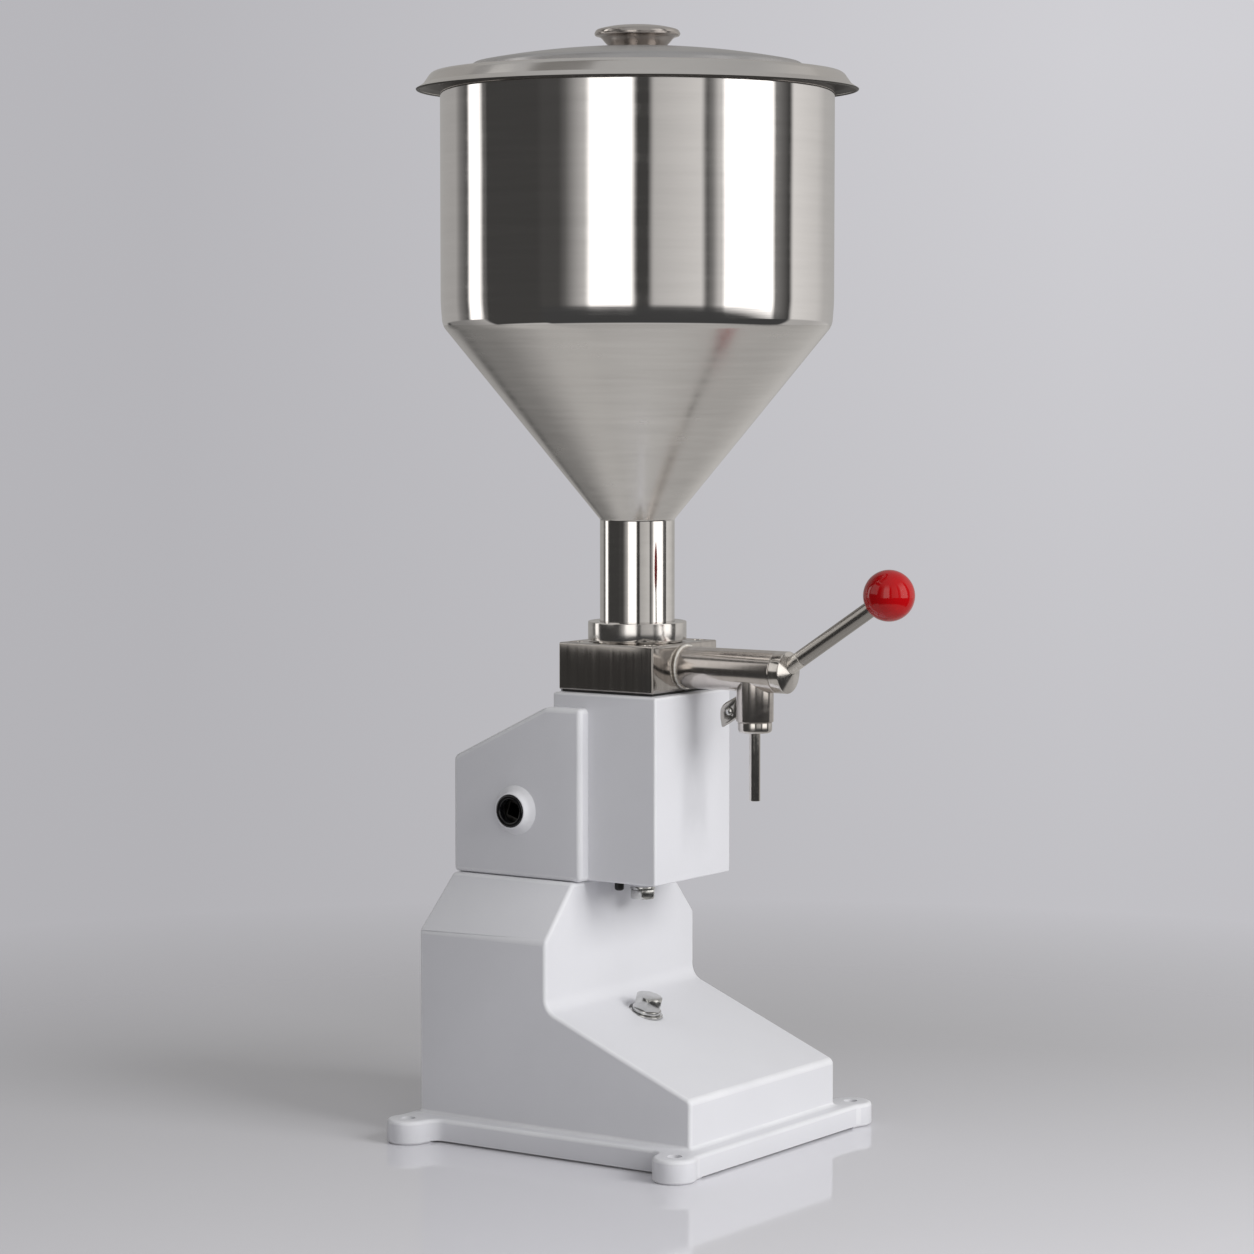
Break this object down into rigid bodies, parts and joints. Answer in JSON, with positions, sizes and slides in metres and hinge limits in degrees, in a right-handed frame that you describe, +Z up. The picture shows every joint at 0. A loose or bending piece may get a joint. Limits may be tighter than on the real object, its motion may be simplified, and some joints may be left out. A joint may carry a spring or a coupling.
{
  "type": "manual paste filling machine",
  "caption": "Bench-top hand-worked paste filler: lidded hopper over a lever-turned rotary valve with a down-pointing nozzle, crank-driven piston pump and a white cast stand.",
  "frame": {"origin": "on the bench, under the middle of the whole machine's bounding box", "axes": "+Z up along the hopper and pump axis, -Y forwards the way the nozzle and the lever point, +X to the machine's right seen from behind the stand"},
  "size_m": [0.3046, 0.3718, 0.7704],
  "materials": {
    "cast_paint": "white paint over a casting with a fine orange-peel texture",
    "polished_steel": "mirror-polished stainless sheet",
    "satin_steel": "machined and brushed stainless",
    "dark_steel": "blackened steel",
    "zinc": "zinc-plated fastener",
    "red_plastic": "glossy red",
    "black_plastic": "glossy black",
    "black_rubber": "matt black",
    "white_seal": "off-white sealing plastic"
  },
  "bodies": {
    "machine": {"base_casting": "cast_paint", "block_gasket": "black_rubber", "block_screw_1": "zinc", "block_screw_2": "zinc", "block_screw_3": "zinc", "block_screw_4": "zinc", "guide_pin_left": "dark_steel", "guide_pin_right": "dark_steel", "head_bolt_1": "zinc", "head_bolt_2": "zinc", "head_bolt_3": "zinc", "head_bolt_4": "zinc", "head_casting": "cast_paint", "hopper": "polished_steel", "hopper_gasket": "white_seal", "hopper_nut": "satin_steel", "lug_screw": "zinc", "nozzle_gasket": "white_seal", "nozzle_nut": "satin_steel", "nozzle_tube": "polished_steel", "outlet_lug": "satin_steel", "platform_bolt": "zinc", "platform_flat_washer": "zinc", "platform_spring_washer": "zinc", "pump_cylinder": "satin_steel", "shaft_bush_left": "black_plastic", "shaft_bush_right": "black_plastic", "stop_bolt": "zinc", "stop_spring_washer": "zinc", "valve_barrel": "satin_steel", "valve_block": "satin_steel"},
    "lid": {"lid_shell": "polished_steel", "lid_knob": "polished_steel", "lid_screw": "zinc"},
    "valve": {"valve_core": "satin_steel", "core_seal_rear": "black_rubber", "core_seal_front": "black_rubber", "core_washer": "zinc", "core_screw": "zinc", "valve_cap": "satin_steel", "handle_rod": "satin_steel", "handle_ball": "red_plastic"},
    "shaft": {"cross_shaft": "satin_steel", "crank_arm": "dark_steel", "crank_pin": "satin_steel", "arm_set_screw": "dark_steel"},
    "piston_group": {"piston": "satin_steel", "piston_seal_upper": "white_seal", "piston_seal_lower": "white_seal", "piston_nut": "zinc", "piston_rod": "satin_steel", "crosshead": "satin_steel"}
  },
  "joints": [
    {"name": "lid_lift", "type": "slide", "parent": "machine", "child": "lid", "axis": [0, 0, 1], "range_m": [0, 0.12]},
    {"name": "valve_turn", "type": "hinge", "parent": "machine", "child": "valve", "pos_m": [0, 0.03363, 0.3301], "axis": [0, 1, 0], "range_deg": [0, 90]},
    {"name": "pump_shaft_turn", "type": "hinge", "parent": "machine", "child": "shaft", "pos_m": [0, 0.09743, 0.2293], "axis": [-1, 0, 0], "range_deg": [0, 35.56]},
    {"name": "piston_slide", "type": "slide", "parent": "machine", "child": "piston_group", "axis": [0, 0, 1], "range_m": [0, 0.04]}
  ],
  "couplings": [
    {"joint": "piston_slide", "follows": "pump_shaft_turn", "m_per_rad": 0.06444}
  ]
}
